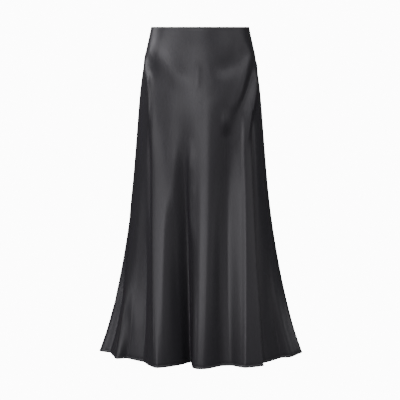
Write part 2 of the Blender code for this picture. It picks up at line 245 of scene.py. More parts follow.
# %% Creases at the front and the left side
# name, side, depth, half width, share of its length that fades at the top and at the foot,
# then points of its path as (drop, across), with lengths in millimetres
FRONT_CREASES = (
    ("left_hip_groove", "front", -2.2, 5.6, 0.15, 0.10,
     ((100, -133), (145, -131), (210, -129), (310, -128), (440, -128), (590, -127), (770, -126))),
    ("left_hip_side_ridge", "front", 3.5, 6.5, 0.30, 0.40,
     ((100, -131), (145, -128), (210, -127), (270, -126))),
    ("first_flute_edge", "front", 6.5, 14.0, 0.29, 0.40,
     ((50, -147), (95, -138), (145, -130), (195, -126), (260, -123), (335, -120), (460, -120))),
    ("left_hip_drag", "front", 3.3, 25.7, 0.15, 0.35,
     ((50, -139), (80, -102), (120, -59), (160, -14))),
    ("centre_front_nip", "front", 1.1, 9.2, 0.40, 0.30,
     ((80, -6), (120, -7), (165, -8))),
    ("second_flute_twin", "front", 6.1, 11.2, 0.30, 0.30,
     ((270, -24), (370, -24), (470, -22), (570, -17))),
    ("small_chevron", "front", 4.4, 11.0, 0.45, 0.45,
     ((200, 61), (238, 63), (278, 66))),
    ("right_hip_ridge", "front", 2.2, 12.4, 0.12, 0.30,
     ((55, 140), (95, 120), (140, 105), (180, 89), (225, 74), (265, 64))),
    ("right_hip_valley", "front", -5.6, 13.5, 0.42, 0.46,
     ((80, 134), (110, 134), (145, 127), (180, 116), (215, 102), (250, 89), (295, 74))),
    ("third_flute_top", "front", 5.6, 12.5, 0.34, 0.50,
     ((70, 137), (107, 142), (150, 141), (187, 134), (250, 121), (313, 112), (410, 106))),
    ("right_waist_hollow", "front", -4.5, 24.7, 0.20, 0.30,
     ((50, 126), (80, 102), (100, 66), (110, 23))),
    ("right_hip_pad", "front", 1.4, 30.0, 0.40, 0.40,
     ((160, 30), (190, 58), (220, 80))),
    ("left_facet_ridge", "front", 1.3, 13.0, 0.35, 0.35,
     ((435, -130), (540, -133), (695, -139), (805, -143))),
    ("right_thread", "front", 0.5, 3.6, 0.30, 0.30,
     ((435, 138), (540, 140), (650, 140))),
    ("left_back_tuck", "left", -1.7, 19.0, 0.45, 0.45,
     ((680, -190), (715, -209), (745, -232))),
)
print(len(FRONT_CREASES), "creases at the front and the left side")

# %% Creases at the back
BACK_CREASES = (
    ("zip_side_drag", "back", 2.4, 22.0, 0.40, 0.45,
     ((58, 124), (98, 99), (138, 66), (172, 31))),
    ("zip_side_valley", "back", -2.4, 17.0, 0.40, 0.40,
     ((92, 141), (146, 121), (192, 101), (262, 78))),
    ("back_nip", "back", 1.1, 9.5, 0.40, 0.40,
     ((84, 9), (128, 6), (171, 3))),
    ("seat_ridge", "back", 2.7, 19.0, 0.35, 0.45,
     ((84, -136), (141, -118), (198, -101), (257, -90), (330, -84))),
    ("seat_valley", "back", -2.3, 15.5, 0.40, 0.40,
     ((112, -146), (181, -127), (236, -111), (305, -99))),
    ("back_flute_c_top", "back", 3.9, 12.0, 0.25, 0.45,
     ((196, 57), (248, 54), (316, 52), (422, 50))),
    ("back_flute_d_twin", "back", 4.6, 10.4, 0.30, 0.35,
     ((288, 13), (362, 11), (455, 9), (548, 5))),
    ("back_flute_e_top", "back", 3.3, 13.2, 0.25, 0.50,
     ((231, -61), (284, -63), (351, -67), (437, -71))),
    ("back_flute_b_lean", "back", -2.6, 8.8, 0.30, 0.30,
     ((402, 92), (489, 99), (577, 106), (658, 117))),
    ("back_thread", "back", 0.6, 3.6, 0.30, 0.30,
     ((471, -33), (548, -36), (632, -41))),
    ("back_hem_tuck", "back", -2.2, 12.0, 0.30, 0.20,
     ((722, 84), (753, 97), (781, 103))),
)
CREASES = FRONT_CREASES + BACK_CREASES
print(len(BACK_CREASES), "creases at the back")

# %% Paths of the creases
SIDE_PLACES = {
    "front": (0.0, LINE_NUMBER["right_seam"]),
    "back": (LINE_NUMBER["right_seam"], LINE_NUMBER["back_hollow_f"]),
    "left": (LINE_NUMBER["left_flute"] - 0.5, LINES),
}
PATH_STEPS = 28
PLACE_STEPS = 1200


def crease_path(side, points):
    """A smooth line on the form through the (drop, across) points of a crease."""
    known = np.array(points) * MM
    steps = np.linspace(0, len(known) - 1, PATH_STEPS)
    low = np.clip(steps.astype(int), 0, len(known) - 2)
    slopes = np.gradient(known, axis=0)
    line = cubic((steps - low)[:, None], known[low], known[low + 1], slopes[low], slopes[low + 1])
    places = np.linspace(*SIDE_PLACES[side], PLACE_STEPS)
    rings = cloth_form(line[:, 0], np.broadcast_to(places, (PATH_STEPS, PLACE_STEPS)))
    nearest = np.abs(rings[..., 0] - line[:, 1:]).argmin(axis=1)
    return rings[np.arange(PATH_STEPS), nearest]


crease_lines = [crease_path(row[1], row[6]) for row in CREASES]
lengths = [np.linalg.norm(np.diff(line, axis=0), axis=1).sum() for line in crease_lines]
print("creases from", round(min(lengths), 3), "to", round(max(lengths), 3), "m long")

# %% Relief of the creases
# A crease is a bell curve across, so past three half widths nothing of it is left.
CREASE_REACH = 3.0


def soft_step(share):
    """A step from 0 to 1 with soft ends."""
    share = np.clip(share, 0.0, 1.0)
    return share * share * (3 - 2 * share)


def nearest_on_line(cloud, line):
    """Distance of each point from a line, and where along the line it is nearest, from 0 to 1."""
    best = np.full(len(cloud), np.inf)
    along = np.zeros(len(cloud))
    for step, (start, end) in enumerate(zip(line[:-1], line[1:])):
        part = np.clip((cloud - start) @ (end - start) / ((end - start) @ (end - start)), 0.0, 1.0)
        apart = np.linalg.norm(cloud - start - part[:, None] * (end - start), axis=1)
        closer = apart < best
        best = np.where(closer, apart, best)
        along = np.where(closer, (step + part) / (len(line) - 1), along)
    return best, along


def crease_relief(points):
    """How far the creases lift or sink each point of the form."""
    relief = np.zeros(points.shape[:-1])
    for (_, _, depth, width, fade_top, fade_foot, _), line in zip(CREASES, crease_lines):
        reach = CREASE_REACH * width * MM
        near = np.all((points > line.min(0) - reach) & (points < line.max(0) + reach), axis=-1)
        apart, along = nearest_on_line(points[near], line)
        shape = np.exp(-((apart / (width * MM)) ** 2))
        ends = soft_step(along / fade_top) * soft_step((1.0 - along) / fade_foot)
        relief[near] += depth * MM * shape * ends
    return relief


print("deepest crease", min(row[2] for row in CREASES), "mm, highest", max(row[2] for row in CREASES), "mm")

# %% [markdown]
# ## Turned edges
# Nothing on a good skirt ends in a raw cut. The waist edge is turned in once, the hem is turned twice
# into a narrow roll, and both panels turn in at the side seams, where their allowances are pressed open.
# Folded strips could be modelled one by one, but their layers would lie closer than a renderer can tell
# apart. Each turning is shown as what a viewer sees of it: thicker cloth for its own depth, and a round
# edge. The curves below give the outer face and the extra wall by distance from an edge, in millimetres.
# The seam's curve starts 0.04 mm past the seam line, so that the two panels meet there.

# %% Profiles of the edges
SATIN_THICK = 0.8
HEM = {
    "from edge": (0.0, 0.2, 0.6, 1.2, 3.0, 4.8, 5.6, 6.1, 6.7, 8.0),
    "face": (0.30, 0.34, 0.42, 0.50, 0.55, 0.42, 0.08, -0.28, -0.12, 0.0),
    "turned in": (1.7, 1.7, 1.7, 1.7, 1.7, 1.6, 0.9, 0.0, 0.0, 0.0),
}
WAIST = {
    "from edge": (0.0, 0.2, 0.6, 1.4, 4.0, 8.6, 9.4, 10.0, 11.0),
    "face": (0.06, 0.08, 0.10, 0.12, 0.12, 0.08, 0.03, 0.0, 0.0),
    "turned in": (0.8, 0.8, 0.8, 0.8, 0.8, 0.75, 0.5, 0.0, 0.0),
}
SEAM = {
    "from edge": (-0.04, 0.2, 0.6, 1.3, 2.5, 5.0, 9.0, 9.7, 10.4, 12.0),
    "face": (-0.62, -0.46, -0.26, -0.08, 0.05, 0.12, 0.08, 0.03, 0.0, 0.0),
    "turned in": (0.75, 0.75, 0.75, 0.75, 0.75, 0.75, 0.7, 0.4, 0.0, 0.0),
}
ROUNDING = {"from edge": (0.0, 0.2, 0.6, 1.0), "fullness": (0.35, 0.72, 0.95, 1.0)}


def profile(edge, what, distance_mm):
    """Read one curve of an edge at distances in millimetres."""
    return np.interp(distance_mm, edge["from edge"], edge[what])


def wall_behind(edge, distance_mm):
    """How far the inner face lies behind the form near an edge, in millimetres."""
    return SATIN_THICK + profile(edge, "turned in", distance_mm) - profile(edge, "face", distance_mm)


print("hem roll", HEM["from edge"][6], "mm deep and", SATIN_THICK + HEM["turned in"][0], "mm thick")

# %% [markdown]
# ## Cutting the grid
# Cloth is modelled as a fine flat grid that is then draped. A subdivision modifier would spread its
# faces evenly, but they are wanted where something happens. Rows lie close together at the waist and hem
# and over the hips, where creases cross them, and further apart where the flutes run straight down.
# Columns lie close together beside the seams, and crowd a little where the flutes turn.

# %% Rows of the grid
HIP_ROWS, FLARE_ROWS = 62, 74
HIP_FOOT = 0.32


def row_drops():
    """Drop of every row of the grid."""
    top = np.array(WAIST["from edge"]) * MM
    foot = LENGTH - np.array(HEM["from edge"][::-1]) * MM
    hips = np.linspace(top[-1], HIP_FOOT, HIP_ROWS)[1:-1]
    flare = np.linspace(HIP_FOOT, foot[0], FLARE_ROWS)[:-1]
    return np.concatenate((top, hips, flare, foot))


DROPS = row_drops()
print(len(DROPS), "rows, closest", (np.diff(DROPS).min() / MM).round(2), "mm apart")

# %% Columns of the grid
PANEL_COLUMNS = 300
SEAM_SQUEEZE = 0.060
PAST_SEAM_PLACE, PAST_SEAM_MM = 0.05, 0.4
FINE_STEPS = 1600
EVEN_AT_HEM = 0.55


def squeeze_row(at, width):
    """Distances of one row of points across a panel, with its edge columns added beside the seams."""
    seam = np.array((-PAST_SEAM_MM, *SEAM["from edge"])) * MM
    squeeze = 1.0 - seam[-1] / SEAM_SQUEEZE
    at = np.where(at < SEAM_SQUEEZE, seam[-1] + at * squeeze, at)
    at = np.where(width - at < SEAM_SQUEEZE, width - seam[-1] - (width - at) * squeeze, at)
    return np.concatenate((seam, at, width - seam[::-1]))


def column_places(first, last):
    """Place and distance from the first seam of every point of the grid, one row for each drop.

    One more column on each side lies past the seam. It is only measured, so that both panels turn alike
    where they meet, and is dropped before the cloth is made.
    """
    fine = np.linspace(first, last, FINE_STEPS)
    fine = np.concatenate(([first - PAST_SEAM_PLACE], fine, [last + PAST_SEAM_PLACE]))
    rows = cloth_form(DROPS, np.broadcast_to(fine, (len(DROPS), len(fine))))
    steps = np.linalg.norm(np.diff(rows, axis=1), axis=2)
    reach = np.pad(np.cumsum(steps[:, 1:], axis=1), ((0, 0), (1, 0)))
    reach = np.concatenate((-steps[:, :1], reach), axis=1)
    hem_share = reach[-1, 1:-1] / reach[-1, -2]
    line_share = np.linspace(0.0, 1.0, FINE_STEPS)
    spread = EVEN_AT_HEM * hem_share + (1.0 - EVEN_AT_HEM) * line_share
    base = np.interp(np.arange(1, PANEL_COLUMNS) / PANEL_COLUMNS, spread, fine[1:-1])
    across = np.array([squeeze_row(np.interp(base, fine, length), length[-2]) for length in reach])
    places = np.array([np.interp(row, length, fine) for row, length in zip(across, reach)])
    return places, across


right_seam = LINE_NUMBER["right_seam"]
print(PANEL_COLUMNS - 1 + 2 * len(SEAM["from edge"]), "columns a panel")

# %% [markdown]
# ## Draping a panel
# A slab of cloth starts as one flat grid, extruded once so that it has an outer face, an inner face and
# a rim. A Solidify modifier could thicken a single sheet, but its wall is even, and a turned hem isn't.
# The slab's points are laid on the form, lifted by the creases and shaped by the turned edges. It is the
# way a sculptor would drape it, but every number stays a real size.


# %% Directions on the cloth
LEAST_LEVEL = 0.3


def face_normals(points):
    """Outward direction of the form at each point of a grid."""
    down = np.gradient(points, axis=0)
    across = np.gradient(points, axis=1)
    normal = np.cross(down, across)
    return normal / np.linalg.norm(normal, axis=2, keepdims=True)


def keep_level(normal):
    """Step of one unit along the normal that keeps its level, so that edges stay straight."""
    level = normal * np.array((1.0, 1.0, 0.0))
    return level / np.maximum((level**2).sum(axis=2, keepdims=True), LEAST_LEVEL)


slant = keep_level(np.array([[(0.6, 0.0, 0.8)]]))[0, 0]
print("one step out of a slanting face", slant.round(3))


# %% A slab of cloth
def cloth_slab(columns, rows):
    """A flat closed slab of cloth, one wide, one long and one thick. Its inner face has material 1."""
    slab = bmesh.new()
    bmesh.ops.create_grid(slab, x_segments=columns, y_segments=rows, size=0.5)
    bmesh.ops.translate(slab, verts=slab.verts, vec=(0.5, 0.5, 0.0))
    grown = bmesh.ops.extrude_face_region(slab, geom=slab.faces[:], use_keep_orig=True)
    raised = [item for item in grown["geom"] if isinstance(item, bmesh.types.BMVert)]
    bmesh.ops.translate(slab, verts=raised, vec=(0.0, 0.0, 1.0))
    for face in slab.faces:
        face.material_index = int(all(vert.co.z > 0.5 for vert in face.verts))
    return slab


def mesh_piece(name, shape):
    """Turn a bmesh into a smooth piece of the skirt."""
    mesh = bpy.data.meshes.new(name)
    shape.to_mesh(mesh)
    shape.free()
    mesh.shade_smooth()
    piece = bpy.data.objects.new(name, mesh)
    bpy.context.scene.collection.objects.link(piece)
    return piece


sample = cloth_slab(2, 2)
print("a slab of 2 by 2 has", len(sample.faces), "faces")
sample.free()


# %% Both faces of a panel
def panel_faces(form, step, across):
    """Outer and inner face of a panel, and its width at each row."""
    width = across[:, -1:] + SEAM["from edge"][0] * MM
    edges = (
        (HEM, np.broadcast_to((LENGTH - DROPS)[:, None] / MM, across.shape)),
        (WAIST, np.broadcast_to(DROPS[:, None] / MM, across.shape)),
        (SEAM, np.minimum(across, width - across) / MM),
    )
    face = sum(profile(edge, "face", far) for edge, far in edges)
    turned_in = np.maximum.reduce([profile(edge, "turned in", far) for edge, far in edges])
    wall = SATIN_THICK + turned_in
    fullness = np.minimum.reduce([profile(ROUNDING, "fullness", far) for _, far in edges])
    pinch = (1.0 - fullness) * wall / 2.0
    outer = form + step * ((face - pinch) * MM)[..., None]
    inner = form + step * ((face - wall + pinch) * MM)[..., None]
    return outer, inner, width


def lay_cloth_map(panel, flat):
    """A UV map in metres across and down the cloth, from the flat spot of each point."""
    corner = np.empty(len(panel.data.loops), dtype=int)
    panel.data.loops.foreach_get("vertex_index", corner)
    cloth_uv = panel.data.uv_layers.new(name="cloth")
    cloth_uv.data.foreach_set("uv", flat[corner].ravel())


print("inside of the hem roll", round(float(wall_behind(HEM, 3.0)), 2), "mm behind the form")


# %% A whole panel
def drape_panel(name, first, last):
    """A panel of satin from one seam line to the next, as a thin closed shell with a cloth UV map."""
    places, across = column_places(first, last)
    form = cloth_form(DROPS, places)
    form = form + keep_level(face_normals(form)) * crease_relief(form)[..., None]
    step = keep_level(face_normals(form))
    form, step, across = form[:, 1:-1], step[:, 1:-1], across[:, 1:-1]
    outer, inner, width = panel_faces(form, step, across)

    columns, rows = across.shape[1] - 1, len(DROPS) - 1
    slab = cloth_slab(columns, rows)
    spots = [(round(vert.co.x * columns), round(vert.co.y * rows)) for vert in slab.verts]
    for vert, (column, row) in zip(slab.verts, spots):
        vert.co = (inner if vert.co.z > 0.5 else outer)[row, column]
    bmesh.ops.recalc_face_normals(slab, faces=slab.faces[:])
    panel = mesh_piece(name, slab)
    flat = np.array([(across[row, column] - width[row, 0] / 2, DROPS[row]) for column, row in spots])
    lay_cloth_map(panel, flat)
    print(name, len(panel.data.polygons), "faces, hem", round(float(width[-1, 0]), 3), "m")
    return panel


# %% Front and back
satin_front = drape_panel("satin_front", 0, right_seam)
satin_back = drape_panel("satin_back", right_seam, LINES)
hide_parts("front_panel")
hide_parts("back_panel")

# %% [markdown]
# ## Laying small things on the cloth
# Thread and the parts of the zip follow the cloth. An array modifier could copy them along a curve, but
# each row should end up as one piece that needs nothing else. So each small shape is modelled once, flat
# and at its real size, and copies are set down along the cloth and joined. A spot says where one copy
# goes: its own X runs across the cloth, Y up the cloth and Z out of it.

# %% Spots on the cloth
DROP_STEP = 0.4 * MM
PLACE_STEP = 0.01


def cloth_spots(drops, places, depth_mm, turn=0.0):
    """Spots on the finished cloth, some depth behind its outer face, turned about their own Z."""
    here = cloth_form(drops, places[:, None] + np.array((-PLACE_STEP, 0.0, PLACE_STEP)))
    above, below = (cloth_form(drops + shift, places[:, None])[:, 0] for shift in (-DROP_STEP, DROP_STEP))
    across, down = here[:, 2] - here[:, 0], below - above
    out = np.cross(down, across)
    out /= np.linalg.norm(out, axis=1, keepdims=True)
    down /= np.linalg.norm(down, axis=1, keepdims=True)
    lift = crease_relief(here[:, 1][:, None])[:, 0] - depth_mm * MM
    points = here[:, 1] + keep_level(out[:, None])[:, 0] * lift[:, None]
    turned = Matrix.Rotation(turn, 4, "Z")
    spots = []
    for x_axis, y_axis, z_axis, point in zip(np.cross(down, out), -down, out, points):
        spot = Matrix((x_axis, y_axis, z_axis)).transposed().to_4x4()
        spot.translation = point
        spots.append(spot @ turned)
    return spots


def beside(drops, seam, aside_mm):
    """Places of the cloth that lie some millimetres beside a seam."""
    spans = fold_lines(drops)[2][:, seam if aside_mm > 0 else seam - 1]
    return seam + np.degrees(aside_mm * MM / oval_at(drops)[:, 0]) / spans


waist_seam = cloth_spots(np.array([DROP_STEP]), np.array([float(right_seam)]), 0.0)[0]
print("the wearer's left seam meets the waist at", [round(way, 3) for way in waist_seam.translation])


# %% Copies and stitches
def strew(name, shape, spots):
    """One piece made of copies of a small shape, one on each spot."""
    pattern = bpy.data.meshes.new("pattern")
    shape.to_mesh(pattern)
    shape.free()
    joined = bmesh.new()
    for spot in spots:
        joined.from_mesh(pattern)
        joined.verts.ensure_lookup_table()
        bmesh.ops.transform(joined, matrix=spot, verts=joined.verts[-len(pattern.vertices) :])
    bpy.data.meshes.remove(pattern)
    print(name, len(spots), "copies,", len(joined.faces), "faces")
    return mesh_piece(name, joined)


def stitch(length_mm, thread_mm):
    """A stitch: a slim drop of thread along Y."""
    shape = bmesh.new()
    bmesh.ops.create_uvsphere(shape, u_segments=6, v_segments=4, radius=0.5 * MM)
    bmesh.ops.scale(shape, verts=shape.verts, vec=(thread_mm, thread_mm, length_mm))
    bmesh.ops.rotate(shape, verts=shape.verts, matrix=Matrix.Rotation(math.radians(90.0), 3, "X"))
    return shape


# %% [markdown]
# ## Concealed zip
# The zip that the solids already hold is only a tape, a slider and a pull. The real one has a nylon coil
# down the middle of its tape, on the inside of the skirt, and the slider has a second half in there that
# closes it. A coil is one wire wound round and round. A bevelled curve could follow it, but it would be
# one long mesh of many faces, so each turn is a small ring, made by spinning a round wire once about the
# line of the zip. The other parts are blocks with bevelled edges.

# %% The coil
ZIP_TOP, ZIP_FOOT = 0.004, 0.194
SLIDER_DROP = 0.014
COIL_TOP, COIL_FOOT = SLIDER_DROP - 0.005, ZIP_FOOT - 0.003
TAPE_BACK = 2.8
COIL_PITCH = 1.3 * MM
COIL_WIDE, COIL_HIGH, COIL_WIRE = 3.0, 1.7, 0.62


def coil_turn():
    """One turn of the coil: an oval ring of nylon wire that lies across the seam."""
    shape = bmesh.new()
    wire = bmesh.ops.create_circle(shape, segments=5, radius=COIL_WIRE / 2.0 * MM)["verts"]
    bmesh.ops.translate(shape, verts=wire, vec=((COIL_HIGH - COIL_WIRE) / 2.0 * MM, 0.0, 0.0))
    bmesh.ops.spin(
        shape,
        geom=shape.verts[:] + shape.edges[:],
        cent=(0.0, 0.0, 0.0),
        axis=(0.0, 1.0, 0.0),
        angle=math.tau,
        steps=8,
        use_merge=True,
    )
    bmesh.ops.scale(shape, verts=shape.verts, vec=(COIL_WIDE / COIL_HIGH, 1.0, 1.0))
    bmesh.ops.recalc_face_normals(shape, faces=shape.faces[:])
    return shape


coil_drops = np.arange(COIL_TOP, COIL_FOOT, COIL_PITCH)
coil_places = np.full(len(coil_drops), float(right_seam))
coil_spots = cloth_spots(coil_drops, coil_places, TAPE_BACK + COIL_HIGH / 2.0)
zip_coil = strew("zip_coil", coil_turn(), coil_spots)


# %% Inner slider and stops
def zip_block(name, drop, size_mm, depth_mm, bevel_mm, aside_mm=(0.0,)):
    """A rounded block on the line of the zip, or one on each side of it."""
    shape = bmesh.new()
    bmesh.ops.create_cube(shape, size=MM)
    bmesh.ops.scale(shape, verts=shape.verts, vec=size_mm)
    edges = shape.edges[:]
    bmesh.ops.bevel(
        shape, geom=edges, offset=bevel_mm * MM, segments=3, profile=0.5, affect="EDGES", material=-1
    )
    drops = np.full(len(aside_mm), drop)
    places = np.concatenate([beside(drops[:1], right_seam, aside) for aside in aside_mm])
    return strew(name, shape, cloth_spots(drops, places, TAPE_BACK + depth_mm))


RUNNER_SIZE, TOP_STOP_SIZE, FOOT_STOP_SIZE = (6.0, 9.6, 2.6), (1.5, 2.4, 1.5), (4.2, 3.2, 2.0)
TOP_STOPS_ASIDE = (-1.2, 1.2)
top_drop, foot_drop = ZIP_TOP + 0.0035, ZIP_FOOT - 0.002
zip_runner = zip_block("zip_runner", SLIDER_DROP, RUNNER_SIZE, 1.35, 0.9)
zip_top_stops = zip_block("zip_top_stops", top_drop, TOP_STOP_SIZE, 0.75, 0.35, TOP_STOPS_ASIDE)
zip_foot_stop = zip_block("zip_foot_stop", foot_drop, FOOT_STOP_SIZE, 1.0, 0.5)

# %% [markdown]
# ## Thread
# A seam is held by a lockstitch of about eleven stitches to 30 mm, and a raw edge inside by slanting
# overlock stitches. A dashed line in a material could stand for them from afar, but close up it would be
# flat. Every stitch is a slim closed drop of thread that lies half sunk in the cloth. The hem row shows
# on both faces, and the others only inside.

# %% Sizes of the stitching, in millimetres
THREAD = 0.24
STITCH, STITCH_PITCH = 2.3, 2.8
HEM_STITCH_UP = 4.9
WAIST_STITCH_DOWN = 8.2
FIRST_STITCH, SEAM_CLEAR = 1.5, 2.0
TAPE_STITCH_ASIDE = 7.5
OVERLOCK_STITCH, OVERLOCK_PITCH = 3.4, 2.6
OVERLOCK_ASIDE, OVERLOCK_SLANT = 8.2, 62.0
SIDEWAYS = math.radians(90.0)

# The waist row stops this far from the zip, as a share of the way to the next fold line.
ZIP_CLEAR = 1.0 / 9.0
# Each seam with the drop of its first overlock stitch, in metres. The last is this far above the hem.
OVERLOCKED_SEAMS = ((0, 0.013), (right_seam, ZIP_FOOT + 0.008))
OVERLOCK_END = 0.010
print("stitches to 30 mm", round(30.0 / STITCH_PITCH, 1))


# %% Rows round the skirt
def around(drop):
    """Places at equal steps once round the skirt, clear of both seams."""
    fine = np.linspace(0.0, LINES, 3 * ROUND_STEPS)
    ring = cloth_form(np.array([drop]), fine[None, :])[0]
    reach = np.concatenate(([0.0], np.cumsum(np.linalg.norm(np.diff(ring, axis=0), axis=1))))
    places = np.interp(np.arange(FIRST_STITCH * MM, reach[-1], STITCH_PITCH * MM), reach, fine)
    seams = np.interp((0.0, right_seam, LINES), fine, reach)
    to_seam = np.abs(np.interp(places, fine, reach)[:, None] - seams).min(axis=1)
    return places[to_seam > SEAM_CLEAR * MM]


def hem_rows():
    """Stitches round the hem roll, outside and inside."""
    drop = LENGTH - HEM_STITCH_UP * MM
    places = around(drop)
    drops = np.full(len(places), drop)
    depths = (-profile(HEM, "face", HEM_STITCH_UP), wall_behind(HEM, HEM_STITCH_UP))
    return [spot for depth in depths for spot in cloth_spots(drops, places, depth, SIDEWAYS)]


def waist_row():
    """Stitches that hold the turned waist edge, inside only and clear of the zip tape."""
    drop = WAIST_STITCH_DOWN * MM
    places = around(drop)
    places = places[np.abs(places - right_seam) > ZIP_CLEAR]
    depth = wall_behind(WAIST, WAIST_STITCH_DOWN)
    return cloth_spots(np.full(len(places), drop), places, depth, SIDEWAYS)


hem_thread = strew("hem_thread", stitch(STITCH, THREAD), hem_rows())
waist_thread = strew("waist_thread", stitch(STITCH, THREAD), waist_row())


# %% Rows down the seams
def tape_rows():
    """Two rows that sew the zip tape to the seam allowances."""
    drops = np.arange(ZIP_TOP + 2.0 * MM, ZIP_FOOT - 1.0 * MM, STITCH_PITCH * MM)
    asides = (-TAPE_STITCH_ASIDE, TAPE_STITCH_ASIDE)
    rows = [cloth_spots(drops, beside(drops, right_seam, aside), TAPE_BACK) for aside in asides]
    return rows[0] + rows[1]


def overlock_rows():
    """Slanting stitches over the raw edges of the allowances, below the zip and down the other seam."""
    depth = wall_behind(SEAM, OVERLOCK_ASIDE)
    spots = []
    for seam, top in OVERLOCKED_SEAMS:
        drops = np.arange(top, LENGTH - OVERLOCK_END, OVERLOCK_PITCH * MM)
        for side in (-1, 1):
            places = beside(drops, seam, side * OVERLOCK_ASIDE)
            spots += cloth_spots(drops, places, depth, math.radians(-side * OVERLOCK_SLANT))
    return spots


tape_thread = strew("tape_thread", stitch(STITCH, THREAD), tape_rows())
overlock_thread = strew("overlock_thread", stitch(OVERLOCK_STITCH, THREAD), overlock_rows())

# %% [markdown]
# ## Helpers for finishes
# A finish is a small tree of nodes. It could be drawn in the shader editor, but written down it can be
# read and used again. One function adds a node, sets it and links it. Colours are written as they look
# on a screen and turned to linear light once.


# %% Nodes and colours
def colour(code):
    """Linear colour of an sRGB hex code."""
    parts = [int(code[at : at + 2], 16) / 255.0 for at in (1, 3, 5)]
    return [part / 12.92 if part <= 0.04045 else ((part + 0.055) / 1.055) ** 2.4 for part in parts] + [1.0]


def add(tree, kind, settings=None, **sockets):
    """Add a node, with its settings, and its sockets set to a value or linked to another node's socket."""
    node = tree.nodes.new(kind)
    for setting, value in (settings or {}).items():
        setattr(node, setting, value)
    for socket, value in sockets.items():
        number = socket[1:]
        target = node.inputs[int(number)] if number.isdigit() else node.inputs[socket.replace("_", " ")]
        if isinstance(value, bpy.types.NodeSocket):
            tree.links.new(value, target)
        else:
            target.default_value = value
    return node


def new_finish(name):
    """An empty material and its tree."""
    material = bpy.data.materials.new(name)
    material.use_nodes = True
    material.node_tree.nodes.clear()
    return material, material.node_tree


print("mid grey on a screen is", round(colour("#808080")[0], 3), "in linear light")

# %% [markdown]
# ## Satin
# The cloth is polyester satin: a warp-faced weave whose long floats of filament yarn lie side by side, so
# the face is smooth and softly glossy, and the back of the cloth is duller. Charcoal dye takes a little
# unevenly along the yarns, which leaves faint streaks down the grain. Every yarn could be modelled, but
# there are thousands, so a wave pattern stands for them. The yarns are 0.12 mm apart, too fine to show,
# so they are drawn 0.45 mm apart. All of this reads the cloth's own map, so it follows every fold.

# %% Sizes in the satin, in millimetres
YARN, YARN_HEIGHT = 0.45, 0.015
STREAK_ACROSS, STREAK_ALONG = 3.0, 120.0
DIMPLE, DIMPLE_HEIGHT, DIMPLE_STRENGTH = 9.0, 0.12, 0.2


def bands(spacing_mm):
    """Scale of a wave texture whose bands are some millimetres apart."""
    return math.pi / 10.0 / (spacing_mm * MM)


print("scale of the yarns", round(bands(YARN)), "and of the dimples", round(1000.0 / DIMPLE))


# %% One face of the satin
def satin_side(name, deep, pale, gloss, dull, yarn_strength):
    """One face of the satin, between two shades of the dye and two roughnesses."""
    finish, tree = new_finish(name)
    grain = add(tree, "ShaderNodeUVMap", {"uv_map": "cloth"}).outputs["UV"]
    stretch = (1000.0 / STREAK_ACROSS, 1000.0 / STREAK_ALONG, 1.0)
    streak_map = add(tree, "ShaderNodeMapping", Vector=grain, Scale=stretch).outputs[0]
    streaks = add(tree, "ShaderNodeTexNoise", Vector=streak_map, Scale=1.0, Detail=3.0).outputs["Fac"]
    dyes = {"_6": colour(deep), "_7": colour(pale)}
    shade = add(tree, "ShaderNodeMix", {"data_type": "RGBA"}, _0=streaks, **dyes).outputs[2]
    polish = add(tree, "ShaderNodeMapRange", Value=streaks, To_Min=gloss, To_Max=dull).outputs[0]
    wave = {"Scale": bands(YARN), "Distortion": 0.8, "Detail": 1.0}
    yarns = add(tree, "ShaderNodeTexWave", {"bands_direction": "X"}, Vector=grain, **wave).outputs["Fac"]
    cloud = {"Scale": 1000.0 / DIMPLE, "Detail": 2.0}
    dimples = add(tree, "ShaderNodeTexNoise", Vector=grain, **cloud).outputs["Fac"]
    weave = {"Strength": yarn_strength, "Distance": YARN_HEIGHT * MM}
    woven = add(tree, "ShaderNodeBump", Height=yarns, **weave).outputs[0]
    dents = {"Strength": DIMPLE_STRENGTH, "Distance": DIMPLE_HEIGHT * MM}
    relief = add(tree, "ShaderNodeBump", Height=dimples, Normal=woven, **dents).outputs[0]
    look = {"Base_Color": shade, "Roughness": polish, "IOR": 1.5, "Normal": relief}
    surface = add(tree, "ShaderNodeBsdfPrincipled", **look)
    add(tree, "ShaderNodeOutputMaterial", Surface=surface.outputs["BSDF"])
    print(name, deep, "to", pale)
    return finish


# %% Both faces on both panels
satin_face = satin_side("polyester_satin_face", "#323134", "#39383c", 0.30, 0.36, 0.35)
satin_back_side = satin_side("polyester_satin_back", "#2f2e31", "#353438", 0.52, 0.58, 0.6)
for panel in (satin_front, satin_back):
    panel.data.materials.append(satin_face)
    panel.data.materials.append(satin_back_side)
    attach(panel, "skirt")
    print(panel.name, "has", [finish.name for finish in panel.data.materials])

# %% [markdown]

# %% [markdown]
# ## Finishes of the zip and the thread
# The tape is woven polyester in fine ribs, dry and dull. The coil is nylon wire with a soft plastic gloss.
# Slider, pull and stops are die-cast zinc under baked enamel, which pools into a faint ripple. Thread is
# spun polyester, a shade lighter than the satin because its fibres catch light. Each could have a tree
# of its own, but they differ only in shades, gloss and relief, so one function makes all four.


# %% A small finish
SMALL_RELIEF = 0.1


